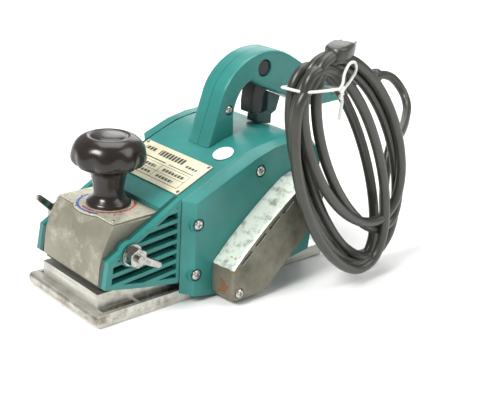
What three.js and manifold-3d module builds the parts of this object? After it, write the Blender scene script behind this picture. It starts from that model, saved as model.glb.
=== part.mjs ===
// Electric hand planer with a belt-driven cutter, a depth knob and a coiled mains cord.
// Millimetres. +Z up, the sole lies on z = 0, the knob end faces -Y and the belt side is +X.
import * as THREE from 'three';
import { mergeVertices } from 'three/addons/utils/BufferGeometryUtils.js';
import Module from 'manifold-3d';

// ---- driving dimensions -------------------------------------------------------------------
const GAP = 0.3; // air left between touching pieces
const WALL = 3; // plastic shell thickness

const sole = { half: 45, front: -114, rear: 114, thick: 9.9, mouthFront: -5.6, mouthRear: 12 };
const upstand = { half: 35.8, front: -106.9, rear: -16.5, top: 21.7 };
const bracket = { half: 36, bottom: 28.7, top: 71, rear: -42.5, bulge: 26 };
const knob = { y: -73, bottom: 72.9 };
const clamp = { y: -84.8, z: 50.8, stud: 3, across: 13 }; // cross bolts with a wing
const cutter = { y: 6, z: 20.5, half: 41, radius: 18.4, shaft: 6, chamber: 23.5 };
const motor = { y: 56, z: 65, shaft: 4.5, core: 19, stator: 34 };
const frame = { half: 44.4, inner: 41.6, top: 45, bottom: 10.6, front: -41, rear: 96 };
const shell = { left: 44.7, right: -46.5, bottom: 45.4, front: -54, rear: 100 };
const cover = { inner: 45.2, outer: 53 };
const belt = { inner: 53.3, outer: 75.5, from: 58.5, to: 67.5, thick: 2.4 };
const pulley = { cutter: 10, motor: 12.5, from: 57, to: 69 };
const handle = { half: 13, edge: 3, wall: 3.4 };
const trigger = { half: 6.9 };
const cord = { radius: 4, exitY: 217.3, exitZ: 132 };
const coil = { from: 78.2, to: 106.6 };

// ---- materials ----------------------------------------------------------------------------
const paint = (color, roughness, metalness) =>
  () => new THREE.MeshStandardMaterial({ color, roughness, metalness });
const teal = paint(0x2b8f89, 0.45, 0);
const castGrey = paint(0xa39f90, 0.5, 0.6);
const machined = paint(0xcfd0c6, 0.35, 0.9);
const bracketGrey = paint(0x948f7c, 0.55, 0.5);
const steel = paint(0xb9bbb8, 0.3, 1);
const darkSteel = paint(0x5a5c5c, 0.4, 1);
const copper = paint(0xb46f3e, 0.35, 1);
const black = paint(0x1b1b1a, 0.45, 0);
const knobBrown = paint(0x2b2420, 0.2, 0);
const rubber = paint(0x3b3a34, 0.7, 0);
const carbon = paint(0x2c2c2e, 0.8, 0);
const cream = paint(0xdcd6b4, 0.4, 0.1);
const white = paint(0xf2f2f0, 0.5, 0);
const postGrey = paint(0x35504e, 0.5, 0);

// ---- solids -------------------------------------------------------------------------------
const wasm = await Module();
wasm.setup();

function toSolid(geometry) {
  const bare = geometry.clone();
  bare.deleteAttribute('normal');
  bare.deleteAttribute('uv');
  const merged = mergeVertices(bare, 1e-4);
  const vertProperties = new Float32Array(merged.attributes.position.array);
  const triVerts = new Uint32Array(merged.index.array);
  return new wasm.Manifold(new wasm.Mesh({ numProp: 3, vertProperties, triVerts }));
}

function toGeometry(solid) {
  const mesh = solid.getMesh();
  const geometry = new THREE.BufferGeometry();
  geometry.setAttribute('position', new THREE.BufferAttribute(mesh.vertProperties, 3));
  geometry.setIndex(new THREE.BufferAttribute(mesh.triVerts, 1));
  geometry.computeVertexNormals();
  return geometry;
}

function joined(first, ...others) {
  return toGeometry(others.reduce((sum, part) => sum.add(toSolid(part)), toSolid(first)));
}

function cutBy(first, ...tools) {
  return toGeometry(tools.reduce((left, tool) => left.subtract(toSolid(tool)), toSolid(first)));
}

function shared(first, second) {
  return toGeometry(toSolid(first).intersect(toSolid(second)));
}

// A closed outline from [a, b] pairs, in whatever plane it is used.
const outline = (points) => new THREE.Shape(points.map(([a, b]) => new THREE.Vector2(a, b)));

// A side outline (y, z) carried along X. A bevel rounds the long edges inside the outline.
function slab(shape, x0, x1, bevel = 0) {
  const profile = Array.isArray(shape) ? outline(shape) : shape;
  const settings = { depth: x1 - x0 - 2 * bevel, bevelEnabled: bevel > 0, curveSegments: 10 };
  Object.assign(settings, { bevelThickness: bevel, bevelSize: bevel, bevelOffset: -bevel, bevelSegments: 2 });
  const toSide = new THREE.Matrix4().set(0, 0, 1, x0 + bevel, 1, 0, 0, 0, 0, 1, 0, 0, 0, 0, 0, 1);
  return new THREE.ExtrudeGeometry(profile, settings).applyMatrix4(toSide);
}

// A plan outline (x, y) carried up from z0 to z1.
function plate(shape, z0, z1, curveSegments = 12) {
  const settings = { depth: z1 - z0, bevelEnabled: false, curveSegments };
  return new THREE.ExtrudeGeometry(shape, settings).translate(0, 0, z0);
}

const box = (x0, x1, y0, y1, z0, z1) =>
  new THREE.BoxGeometry(x1 - x0, y1 - y0, z1 - z0).translate((x0 + x1) / 2, (y0 + y1) / 2, (z0 + z1) / 2);

// A turned piece from [along, radius] pairs, about a line along X, Y or Z through (0, 0, 0).
function turned(profile, axis, segments = 28) {
  const geometry = new THREE.LatheGeometry(profile.map(([along, r]) => new THREE.Vector2(r, along)), segments);
  if (axis === 'x') geometry.rotateZ(-Math.PI / 2);
  if (axis === 'z') geometry.rotateX(Math.PI / 2);
  return outward(geometry);
}

function outward(geometry) {
  const { array } = geometry.attributes.position;
  const corners = geometry.index.array;
  const at = (i) => new THREE.Vector3().fromArray(array, corners[i] * 3);
  let volume = 0;
  for (let i = 0; i < corners.length; i += 3) volume += at(i).dot(at(i + 1).cross(at(i + 2)));
  if (volume < 0) corners.reverse();
  return geometry;
}

const rod = (x0, x1, r, y, z, segments = 24) =>
  turned([[x0, 0], [x0, r], [x1, r], [x1, 0]], 'x', segments).translate(0, y, z);
const ring = (x0, x1, inner, outer, y, z, segments = 28) =>
  turned([[x0, inner], [x0, outer], [x1, outer], [x1, inner], [x0, inner]], 'x', segments).translate(0, y, z);

// A skin drawn through side outlines of equal length, each at its own x.
function loft(rings) {
  const anticlockwise = ([...points]) =>
    (THREE.ShapeUtils.isClockWise(outline(points).getPoints()) ? points.reverse() : points);
  const sections = rings.map(({ x, points }) => ({ x, points: anticlockwise(points) }));
  const count = sections[0].points.length;
  const verts = sections.flatMap(({ x, points }) => points.flatMap(([y, z]) => [x, y, z]));
  const faces = [];
  for (let s = 0; s + 1 < sections.length; s += 1) {
    for (let i = 0; i < count; i += 1) {
      const [a, b] = [s * count + i, s * count + ((i + 1) % count)];
      faces.push(a, b, b + count, a, b + count, a + count);
    }
  }
  for (const [section, flip] of [[0, true], [sections.length - 1, false]]) {
    const contour = sections[section].points.map(([y, z]) => new THREE.Vector2(y, z));
    for (const [a, b, c] of THREE.ShapeUtils.triangulateShape(contour, [])) {
      const at = [a, b, c].map((i) => i + section * count);
      faces.push(...(flip ? at.reverse() : at));
    }
  }
  const geometry = new THREE.BufferGeometry();
  geometry.setAttribute('position', new THREE.Float32BufferAttribute(verts, 3));
  geometry.setIndex(faces);
  return outward(geometry);
}

const shifted = (points, dy, dz) => points.map(([y, z]) => [y + dy, z + dz]);

// The loop of a belt, or of its guard, round two wheels.
function loopOutline(first, r1, second, r2) {
  const span = Math.hypot(second.y - first.y, second.z - first.z);
  const lean = Math.atan2(second.z - first.z, second.y - first.y);
  const turn = Math.acos((r1 - r2) / span);
  const shape = new THREE.Shape();
  shape.absarc(first.y, first.z, r1, lean + turn, lean - turn + 2 * Math.PI, false);
  shape.absarc(second.y, second.z, r2, lean - turn, lean + turn, false);
  shape.closePath();
  return shape;
}

const model = new THREE.Group();
function add(name, geometry, material) {
  const mesh = new THREE.Mesh(geometry, material());
  mesh.name = name;
  model.add(mesh);
}

// ---- front base, its bracket and the depth knob ----------------------------------------------
function frontBase() {
  const { half, front, thick, mouthFront } = sole;
  const side = [[mouthFront, 0], [-8.2, 2], [-11.2, 5], [-14, thick], [front + 1.8, thick], [front, thick - 2]];
  side.push([front, 4], [front + 1.5, 1.2], [front + 4.5, 0]);
  const trays = [];
  for (const x of [-half + 3.5, upstand.half + 0.2]) {
    for (const [y0, y1] of [[upstand.front + 1, -77], [-74.5, -24]]) {
      trays.push(box(x, x + 5.5, y0, y1, 4.2, thick + 1));
    }
  }
  const block = box(-upstand.half, upstand.half, upstand.front, upstand.rear, 4, upstand.top);
  const groove = slab([[front - 1, -1], [mouthFront + 1, -1], [mouthFront + 1, 2.4], [front - 1, 2.4]], -1.6, 1.6);
  const thread = turned([[6, 0], [6, 4.3], [30, 4.3], [30, 0]], 'z').translate(0, knob.y, 0);
  return cutBy(joined(cutBy(slab(side, -half, half), ...trays), block), groove, thread);
}

function dustSeal() {
  const [x, y0, y1, lip] = [34.6, -104.6, -46, 3.5];
  const outer = outline([[-x, y0], [x, y0], [x, y1], [-x, y1]]);
  outer.holes.push(outline([[-x + lip, y0 + lip], [x - lip, y0 + lip], [x - lip, y1 - lip], [-x + lip, y1 - lip]]));
  return plate(outer, 25.4, bracket.bottom - GAP);
}

function frontBracket() {
  const { half, bottom, top, rear, bulge } = bracket;
  const front = [[-106.8, bottom], [-105.6, 42], [-104, 50], [-101.4, 57], [-97.6, 64.6], [-93.8, top]];
  const outer = slab([...front, [rear, top], [rear, bottom]], -half, half, 1.2);
  const inside = [...shifted(front, WALL + 0.4, 0).slice(0, 5), [-91, top - WALL - 0.2]];
  inside[0][1] = bottom - 1;
  const hollow = slab([...inside, [rear - WALL, top - WALL - 0.2], [rear - WALL, bottom - 1]], -half + WALL, half - WALL);
  const dial = turned([[42, 0], [42, bulge - 2], [top, bulge], [top, 0]], 'z', 40).translate(0, knob.y, 0);
  const screwHole = turned([[60, 0], [60, 5.2], [80, 5.2], [80, 0]], 'z').translate(0, knob.y, 0);
  return cutBy(joined(outer, dial), hollow, screwHole, rod(-60, 60, clamp.stud + 0.4, clamp.y, clamp.z));
}

function scalePlate() {
  const z0 = bracket.top + GAP;
  const [x, y0, y1] = [34.4, -93.4, -43];
  const flat = plate(outline([[-x, y0], [x, y0], [x, y1], [-x, y1]]), z0, z0 + 1.2);
  const r = bracket.bulge - 0.6;
  const disc = turned([[z0, 0], [z0, r], [z0 + 1.2, r], [z0 + 1.2, 0]], 'z', 40).translate(0, knob.y, 0);
  const hole = turned([[60, 0], [60, 5.4], [80, 5.4], [80, 0]], 'z').translate(0, knob.y, 0);
  return cutBy(joined(flat, disc), hole);
}

function depthScrew() {
  const profile = [[12, 0], [12, 3], [13, 4], [63.5, 4], [63.5, 9], [67, 9], [67, 4.6], [72.6, 4.6], [72.6, 0]];
  return turned(profile, 'z', 20).translate(0, knob.y, 0);
}

function depthKnob() {
  const z = knob.bottom;
  const skirt = [[z, 0], [z, 16.5], [z + 2.2, 16.5], [z + 4.8, 13], [z + 8.1, 10.7], [z + 15, 11.7], [z + 26, 14.2]];
  const head = [[z + 28, 21], [z + 30.5, 25.4], [z + 34.5, 27.8], [z + 39, 27.6], [z + 45, 25.4], [z + 49.6, 21.3]];
  const top = [[z + 51.9, 15.4], [z + 51.3, 13.6], [z + 52.6, 12.6], [z + 53, 0]];
  const grooves = [];
  for (let lobe = 0; lobe < 8; lobe += 1) {
    const angle = (lobe + 0.5) * (Math.PI / 4);
    const groove = turned([[z + 24, 0], [z + 24, 11], [z + 56, 11], [z + 56, 0]], 'z', 24);
    grooves.push(groove.translate(36.8 * Math.cos(angle), 36.8 * Math.sin(angle), 0));
  }
  return cutBy(turned([...skirt, ...head, ...top], 'z', 32), ...grooves).translate(0, knob.y, 0);
}

// A cross bolt: hexagon hub, stud and one wing that leaves at the given angle in the side view.
function wingBolt(angle) {
  const hub = new THREE.CylinderGeometry(clamp.across * 0.577, clamp.across * 0.577, 8, 6);
  hub.rotateZ(Math.PI / 2).translate(50, 0, 0);
  const flange = rod(45.4, 46.6, 8.2, 0, 0);
  const stud = rod(29, 57.4, clamp.stud, 0, 0, 16);
  const blade = [[3, -3.2], [17, -2.6], [20.5, -2.4], [22.4, 0], [20.5, 2.4], [17, 2.6], [3, 3.2]];
  const wing = slab(blade, -1.9, 1.9, 0.8).rotateZ(-0.12).translate(51.2, 0, 0).rotateX(angle);
  return joined(hub, flange, stud, wing).translate(0, clamp.y, clamp.z);
}

// Louvred panel beside the bracket, with a boss for the cross bolt.
function ribPanel(side) {
  const [inner, outer] = [bracket.half + 0.6, 45];
  const edge = [[-107, bracket.bottom], [-103.7, 48.5], [-41.4, 83.2], [-41.4, 16.3], [-74, 21.8]];
  const inset = [[-101.6, 31.2], [-99.6, 46.4], [-44, 77.4], [-44, 21.4], [-73, 25.6]];
  const slots = [];
  for (let row = 0; row < 8; row += 1) {
    const z = 20.6 + 8 * row;
    const strip = slab([[-104, z - 5.4], [-42, z], [-42, z + 5], [-104, z - 0.4]], 38.4, 46);
    slots.push(shared(strip, slab(inset, 38, 47)));
  }
  const panel = cutBy(slab(edge, inner, outer), ...slots);
  const boss = rod(inner + 0.6, outer, 9.4, clamp.y, clamp.z);
  const panelWithBoss = cutBy(joined(panel, boss), rod(30, 60, clamp.stud + 0.4, clamp.y, clamp.z, 16));
  return side > 0 ? panelWithBoss : mirrored(panelWithBoss);
}

function mirrored(geometry) {
  return outward(geometry.clone().scale(-1, 1, 1));
}

add('front_base', frontBase(), machined);
add('dust_seal', dustSeal(), black);
add('front_bracket', frontBracket(), bracketGrey);
add('scale_plate', scalePlate(), bracketGrey);
add('depth_screw', depthScrew(), steel);
add('depth_knob', depthKnob(), knobBrown);
add('wing_bolt_left', wingBolt(-0.48), steel);
add('wing_bolt_right', mirrored(wingBolt(2.37)), steel);
add('rib_panel_left', ribPanel(1), teal);
add('rib_panel_right', ribPanel(-1), teal);

// ---- main frame and rear base ------------------------------------------------------------------
const duct = { y0: -36, y1: -8, z0: 27.6, z1: 41.4 }; // chip duct across the frame

function mainFrame() {
  const { half, inner, top, bottom, front, rear } = frame;
  const side = [[front, 25.4], [front, top], [rear, top], [rear, bottom], [26, bottom], [24.5, 13.4], [-15.6, 13.4]];
  side.push([-15.6, 25.4]);
  const bosses = [ring(-48.6, -44, 12, 16, cutter.y, cutter.z), ring(44, 50, 12, 16, cutter.y, cutter.z)];
  const chamber = rod(-inner, inner, cutter.chamber, cutter.y, cutter.z, 40);
  const mouth = box(-inner, inner, cutter.y - cutter.chamber, cutter.y + 18.6, 0, cutter.z);
  const motorRecess = rod(-inner, inner, 36.6, motor.y, motor.z, 40);
  const chipDuct = box(-half - 1, inner, duct.y0, duct.y1, duct.z0, duct.z1);
  const bearings = rod(-60, 60, 13.1, cutter.y, cutter.z);
  const lightening = box(-inner, inner, 66, rear - 4, bottom + 4, 30);
  return cutBy(joined(slab(side, -half, half), ...bosses), chamber, mouth, motorRecess, chipDuct, bearings, lightening);
}

function rearBase() {
  const { half, rear, thick, mouthRear } = sole;
  const side = [[mouthRear, 0], [17, 2], [21.2, 5], [25, thick], [rear - 3, thick], [rear, thick - 3], [rear, 2], [rear - 2, 0]];
  return slab(side, -half, half);
}

add('main_frame', mainFrame(), castGrey);
add('rear_base', rearBase(), machined);

// ---- cutter --------------------------------------------------------------------------------------
function cutterDrum() {
  const { half, radius, shaft } = cutter;
  const profile = [[-48.4, 0], [-48.4, shaft], [-42, shaft], [-42, 9], [-half, 9], [-half, radius], [half, radius]];
  profile.push([half, 9], [42, 9], [42, shaft], [52, shaft], [52, 5], [70, 5], [70, 0]);
  const drum = turned(profile, 'x', 36);
  const slots = [0, Math.PI].map((turn) => box(-half - 1, half + 1, -3.5, 3.5, 10.6, 22).rotateX(turn + 0.6));
  return cutBy(drum, ...slots).translate(0, cutter.y, cutter.z);
}

const inDrum = (geometry, turn) => geometry.rotateX(turn + 0.6).translate(0, cutter.y, cutter.z);

add('cutter_drum', cutterDrum(), darkSteel);
[0, Math.PI].forEach((turn, i) => {
  add(`blade_${i + 1}`, inDrum(box(-40.8, 40.8, -3.2, -2, 11, 19.9), turn), steel);
  add(`blade_clamp_${i + 1}`, inDrum(box(-40.5, 40.5, -1.7, 3.2, 11, 17.4), turn), darkSteel);
});
add('cutter_bearing_left', ring(42.4, 50, 6.3, 12.8, cutter.y, cutter.z), steel);
add('cutter_bearing_right', ring(-48.4, -42.4, 6.3, 12.8, cutter.y, cutter.z), steel);

// ---- belt drive ----------------------------------------------------------------------------------
function driveBelt() {
  const r = [pulley.cutter + GAP, pulley.motor + GAP];
  const shape = loopOutline(cutter, r[0] + belt.thick, motor, r[1] + belt.thick);
  shape.holes.push(loopOutline(cutter, r[0], motor, r[1]));
  return slab(shape, belt.from, belt.to);
}

function beltPulley(radius, bore, wheel) {
  const flange = radius + 1.8;
  const { from, to } = pulley;
  const profile = [[from, bore], [from, flange], [from + 1, flange], [from + 1, radius], [to - 1, radius]];
  profile.push([to - 1, flange], [to, flange], [to, bore], [from, bore]);
  return turned(profile, 'x', 32).translate(0, wheel.y, wheel.z);
}

// The guard's side outline: upright nose, sloping top, round rear end.
const guardOutline = [[-11, 4], [-14.2, 8], [-14.6, 29], [-13.4, 31.6], [0, 44.8], [13, 56.2], [26, 66.6]];
guardOutline.push([40.4, 77.3], [49, 83], [58, 86], [66, 84.6], [72.5, 79.4], [76.4, 71.6], [76.6, 63.4]);
guardOutline.push([73.4, 55], [67, 48], [20, 5.4], [16, 4]);
const guardScrew = [-7.4, 10];

// A pocket that leaves an even wall inside a side outline.
function pocketOf(shape, wall, x0, x1) {
  const settings = { depth: x1 - x0, bevelEnabled: true, curveSegments: 6, bevelSegments: 1 };
  Object.assign(settings, { bevelThickness: 0.01, bevelSize: 0, bevelOffset: -wall });
  const toSide = new THREE.Matrix4().set(0, 0, 1, x0, 1, 0, 0, 0, 0, 1, 0, 0, 0, 0, 0, 1);
  return new THREE.ExtrudeGeometry(shape, settings).applyMatrix4(toSide);
}

const about = (points, factor) => points.map(([y, z]) => [31 + (y - 31) * factor, 45 + (z - 45) * factor]);

function beltCover() {
  const { inner, outer } = belt;
  const skin = loft([
    { x: inner, points: about(guardOutline, 1.03) },
    { x: outer - 2.5, points: about(guardOutline, 1.01) },
    { x: outer - 0.8, points: about(guardOutline, 0.995) },
    { x: outer, points: about(guardOutline, 0.975) },
  ]);
  const hollow = pocketOf(outline(guardOutline), 2.2, inner - 1, outer - 2.6);
  const slots = [[-1.5, 37.4], [11.6, 49], [24.8, 59.6], [37.4, 69.4]].map(([y, z]) => {
    const slot = slab([[-6.2, -1.3], [6.2, -1.3], [6.2, 1.3], [-6.2, 1.3]], outer - 4, outer + 1);
    return slot.rotateX(0.7).translate(0, y, z);
  });
  const [y, z] = guardScrew;
  const recess = rod(outer - 1.3, outer + 1, 4.2, y, z);
  return cutBy(skin, hollow, ...slots, recess, rod(outer - 8, outer + 1, 2.3, y, z, 12));
}

add('cutter_pulley', beltPulley(pulley.cutter, 5.3, cutter), castGrey);
add('motor_pulley', beltPulley(pulley.motor, motor.shaft + GAP, motor), castGrey);
add('drive_belt', driveBelt(), rubber);
add('belt_cover', beltCover(), castGrey);

// ---- motor ---------------------------------------------------------------------------------------
function fan() {
  const hub = ring(25, 29, motor.shaft + GAP, 12, motor.y, motor.z);
  const disc = ring(25, 26.2, 11, 32, motor.y, motor.z, 36);
  const vanes = Array.from({ length: 9 }, (_, i) => {
    const vane = box(25.6, 32, -0.8, 0.8, 11, 31.6).rotateX((i * 2 * Math.PI) / 9);
    return vane.translate(0, motor.y, motor.z);
  });
  return joined(hub, disc, ...vanes);
}

function brushHolder(direction) {
  const [y0, y1] = [14, 32];
  const sleeve = box(-31.4, -20.6, y0, y1, -5, 5);
  const holder = cutBy(sleeve, box(-29.3, -22.7, y0 - 1, y1 - 2, -3.3, 3.3));
  return holder.scale(1, direction, 1);
}

add('armature_shaft', rod(-41.2, 70, motor.shaft, motor.y, motor.z), steel);
add('armature_core', ring(-16, 20, motor.shaft + GAP, motor.core, motor.y, motor.z, 36), copper);
add('commutator', ring(-32, -20, motor.shaft + GAP, 11, motor.y, motor.z, 32), copper);
add('fan', fan(), black);
add('field_stator', ring(-18, 22, motor.core + 1, motor.stator, motor.y, motor.z, 40), darkSteel);
add('motor_bearing_left', ring(34.4, 41.2, motor.shaft + GAP, 11, motor.y, motor.z), steel);
add('motor_bearing_right', ring(-41.2, -34.4, motor.shaft + GAP, 11, motor.y, motor.z), steel);
for (const [name, direction] of [['front', -1], ['rear', 1]]) {
  const holder = outward(brushHolder(direction)).translate(0, motor.y, motor.z);
  add(`brush_holder_${name}`, holder, copper);
  const [near, far] = [11.3, 27].map((r) => motor.y + direction * r);
  add(`brush_${name}`, box(-29, -23, Math.min(near, far), Math.max(near, far), motor.z - 3, motor.z + 3), carbon);
}

// ---- housing and side covers ---------------------------------------------------------------------
const crown = [[-38, 81.8], [-4.3, 97], [10, 103.1], [24.7, 108.4], [34, 110.4], [43.5, 111.7], [56, 112.4]];
crown.push([70, 111.4], [82, 108.9], [92, 104.3], [98, 98], [shell.rear, 90]);

function motorHousing() {
  const { left, right, bottom, front } = shell;
  const foot = [[98.6, 60], [97, bottom], [-41, bottom], [-41, 73.1], [front, 73.1], [front, 76.2]];
  const outer = slab([...crown, ...foot], right, left, 1.2);
  const inside = [[-38, 77.6], [-3.4, 93.4], [10.8, 99.6], [25.4, 105], [44, 108.5], [56, 109.2], [69.6, 108.2]];
  inside.push([81, 105.8], [90, 101.6], [95.2, 96], [96.8, 89.4], [95.4, 60], [94, bottom - 1], [-38, bottom - 1]);
  const vents = [];
  for (let i = 0; i < 5; i += 1) vents.push(box(-24 + 10 * i, -19 + 10 * i, 90, 104, 60, 84));
  const besidePanels = [[-60, -36.2], [36.2, 60]].map(([x0, x1]) => box(x0, x1, -60, -41, 70, 90));
  const shaftHole = rod(left - WALL - 1, left + 1, motor.shaft + 0.8, motor.y, motor.z);
  return cutBy(outer, slab(inside, right + WALL + 2, left - WALL), shaftHole, ...besidePanels, ...vents);
}

const coverTop = [[-40.8, 81.2], [-4.3, 97.3], [24.7, 108.8], [43.5, 112], [56, 112.7], [70, 111.6], [82, 109]];
coverTop.push([91, 103.6], [95, 97], [95.6, 88]);
const coverEdge = [...coverTop, [93.6, 50], [90, 13], [-8, 0.8], [-40.8, 7.6]];
const coverFace = [[-33, 80.2], [-1, 93.9], [24.7, 104.5], [42, 109.6], [56, 110.8], [69, 109.8], [80, 107]];
coverFace.push([88.4, 101.8], [92, 96], [92.8, 88], [91, 50], [87.4, 14.6], [-7, 0.8], [-33, 5.8]);
const coverMid = coverEdge.map(([y, z], i) => [y * 0.35 + coverFace[i][0] * 0.65, z * 0.5 + coverFace[i][1] * 0.5]);

const screwSpots = [[-30.7, 63.1], [-31, 23], [28.4, 93.3]];

function leftCover() {
  const { inner, outer } = cover;
  const skin = loft([
    { x: inner, points: coverEdge },
    { x: inner + 4.6, points: coverMid },
    { x: outer, points: coverFace },
  ]);
  const room = [[-29, 76], [26, 100.4], [56, 107], [78, 103.4], [88, 92], [84.6, 18], [-4, 5], [-29, 9]];
  const hollow = slab(room, inner - 1, outer - WALL);
  const window = slab(about(guardOutline, 0.88), outer - 6, outer + 1);
  const bossRoom = rod(inner - 1, outer - 2.4, 16.5, cutter.y, cutter.z, 32);
  const recesses = screwSpots.map(([y, z]) => rod(outer - 1.5, outer + 2, 5.1, y, z));
  const posts = screwSpots.map(([y, z]) => rod(inner + 0.2, outer - 1, 6.6, y, z));
  const holes = screwSpots.map(([y, z]) => rod(outer - 9, outer + 2, 2.4, y, z, 12));
  return cutBy(joined(cutBy(skin, hollow, window, bossRoom), ...posts), ...recesses, ...holes);
}

// The right cover has a bulge over the motor's brush end.
function rightCover() {
  const x0 = shell.right - GAP;
  const thin = loft([{ x: x0, points: coverEdge }, { x: x0 - 3, points: coverFace }]);
  const rim = [[2, 97.6], [25, 106.6], [44, 110.6], [58, 111.6], [72, 109.6], [84, 104], [90, 94], [90, 56], [80, 34]];
  rim.push([54, 24], [26, 34], [6, 58]);
  const face = [[8, 94], [26, 102.6], [44, 106.4], [57, 107.2], [70, 105.4], [80, 100.4], [85, 92], [85, 58], [76, 39]];
  face.push([54, 30], [30, 38], [12, 60]);
  const bulge = loft([{ x: x0 - 2, points: rim }, { x: x0 - 12, points: rim }, { x: x0 - 15.4, points: face }]);
  const room = [[14, 93], [44, 103], [70, 102], [81, 92], [81, 60], [54, 36], [30, 42], [14, 64]];
  const hollow = slab(room, x0 - 12.4, x0 + 1);
  const chipHole = box(x0 - 4, x0 + 1, duct.y0 - 0.4, duct.y1 + 0.4, duct.z0 - 0.4, duct.z1 + 0.4);
  const vents = [0, 1, 2, 3, 4].map((i) => box(x0 - 17, x0 - 12, 34, 70, 60 + 8 * i, 63.4 + 8 * i));
  const bearing = rod(x0 - 2.2, x0 + 1, 17, cutter.y, cutter.z);
  const body = cutBy(joined(thin, bulge), hollow, chipHole, bearing, ...vents);
  return body;
}

function chipChute() {
  const { y0, y1, z0, z1 } = duct;
  const x0 = -frame.half - GAP;
  const tube = [[y0 + 0.4, z0 + 0.4], [y0 + 0.4, z1 - 0.4], [y1 - 0.4, z1 - 0.4], [y1 - 0.4, z0 + 0.4]];
  const flare = [[y0 - 3, z0 - 1], [y0 - 3, z1 + 3], [y1 + 2, z1 + 3], [y1 + 2, z0 - 1]];
  const outer = loft([{ x: x0, points: tube }, { x: x0 - 8, points: tube }, { x: x0 - 22, points: flare }]);
  const bore = (points, trim) => points.map(([y, z]) => [y + (y < -20 ? trim : -trim), z + (z < 35 ? trim : -trim)]);
  const inner = loft([
    { x: x0 + 1, points: bore(tube, 1.6) },
    { x: x0 - 8, points: bore(tube, 1.6) },
    { x: x0 - 23, points: bore(flare, 1.6) },
  ]);
  return cutBy(outer, inner);
}

// A cross-head screw seen end-on: pan head with a cross recess on a short shank.
function panScrew(x, y, z, headRadius) {
  const head = [[x - 6, 0], [x - 6, 2], [x, 2], [x, headRadius], [x + 1.2, headRadius], [x + 2.1, headRadius - 1], [x + 2.4, 0]];
  const cross = [box(x + 1, x + 4, -0.45, 0.45, -2, 2), box(x + 1, x + 4, -2, 2, -0.45, 0.45)];
  return cutBy(turned(head, 'x', 20), ...cross).translate(0, y, z);
}

add('motor_housing', motorHousing(), teal);
add('side_cover_left', leftCover(), teal);
add('side_cover_right', rightCover(), teal);
add('chip_chute', chipChute(), black);
screwSpots.forEach(([y, z], i) => add(`cover_screw_${i + 1}`, panScrew(cover.outer - 1.2, y, z, 3.8), steel));
add('belt_cover_screw', panScrew(belt.outer - 1, ...guardScrew, 3.6), steel);

// ---- handle --------------------------------------------------------------------------------------
// Side outline of the grip: front leg, arched top and open tail.
function gripShape() {
  const shape = new THREE.Shape();
  shape.moveTo(7, 96);
  shape.lineTo(9.6, 104.5);
  shape.lineTo(14.2, 118.5);
  shape.lineTo(22, 142.5);
  shape.bezierCurveTo(27, 158, 46, 173.2, 69, 173.2);
  shape.bezierCurveTo(98, 173.2, 114, 144, 152, 143.6);
  shape.lineTo(164.6, 143.4);
  shape.lineTo(166.6, 141.4);
  shape.lineTo(166.6, 122.6);
  shape.lineTo(164.6, 120.6);
  shape.lineTo(136, 119.6);
  shape.bezierCurveTo(112, 120, 102, 128, 91, 132.6);
  shape.lineTo(62, 144.7);
  shape.lineTo(51, 150.4);
  shape.bezierCurveTo(42, 148, 35.6, 136, 35, 126);
  shape.lineTo(36.4, 96);
  return shape;
}

// The dark post that stands on the housing and ends in a fin under the grip.
function handlePost() {
  const points = [[65.5, 113], [81.6, 110], [81.6, 118], [86.6, 120.4], [90, 132.2], [76, 138], [76, 122.2]];
  return slab([...points, [65.5, 118.6]], -6.2, 6.2, 0.8);
}

const lock = { y: 64, z: 159.5, radius: 6.4 };
const handleScrews = [[29, 130.5], [146, 131.5]];

function gripBody() {
  const skin = slab(gripShape(), -handle.half, handle.half, handle.edge);
  const under = slab([...shifted(crown, 0, GAP + 0.1), [100, 40], [-38, 40]], -60, 60);
  const inside = pocketOf(gripShape(), handle.wall, handle.wall - handle.half, handle.half - handle.wall);
  const pocket = box(-trigger.half - 0.5, trigger.half + 0.5, 55, 80, 120.6, 156);
  const cordHole = turned([[150, 0], [150, 6.5], [180, 6.5], [180, 0]], 'y').translate(0, 0, cord.exitZ);
  return cutBy(skin, inside, under, pocket, cordHole);
}

function handleHalf(side) {
  const keep = side > 0 ? box(GAP / 2, 30, -20, 200, 60, 200) : box(-30, -GAP / 2, -20, 200, 60, 200);
  const half = shared(gripBody(), keep);
  if (side < 0) return half;
  const recesses = handleScrews.map(([y, z]) => rod(handle.half - 2, handle.half + 3, 4, y, z, 20));
  const holes = handleScrews.map(([y, z]) => rod(4, handle.half + 3, 2.2, y, z, 12));
  return cutBy(half, rod(2, 20, lock.radius + 0.7, lock.y, lock.z), ...recesses, ...holes);
}

function triggerLever() {
  const blade = [[58, 122], [57.4, 130], [58.6, 140], [61, 149.4], [77, 149.4], [77, 141], [71, 136], [70, 122], [64, 120.8]];
  return slab(blade, -trigger.half, trigger.half, 1.4);
}

function cordGuard() {
  const z = cord.exitZ;
  const profile = [[157, 0], [157, 7.2], [160, 7.2], [160, 6.1], [167.6, 6.1], [167.6, 7.6], [171, 7.6], [176, 6.6]];
  for (let i = 0; i < 5; i += 1) profile.push([177 + 7 * i, 6.4 - 0.2 * i], [181 + 7 * i, 5.2], [182 + 7 * i, 5.2]);
  profile.push([212, 5.4], [213, 6.5], [217, 6.5], [217, 0]);
  return turned(profile, 'y', 24).translate(0, 0, z);
}

add('handle_left', handleHalf(1), teal);
add('handle_right', handleHalf(-1), teal);
add('handle_post', handlePost(), postGrey);
add('trigger', triggerLever(), black);
add('lock_button', rod(4, 11.6, lock.radius, lock.y, lock.z, 28), black);
add('switch_body', box(-6.8, 6.8, 86, 102, 140, 154), black);
handleScrews.forEach(([y, z], i) => add(`handle_screw_${i + 1}`, panScrew(handle.half - 1.7, y, z, 3.3), steel));
add('cord_guard', cordGuard(), rubber);

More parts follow.
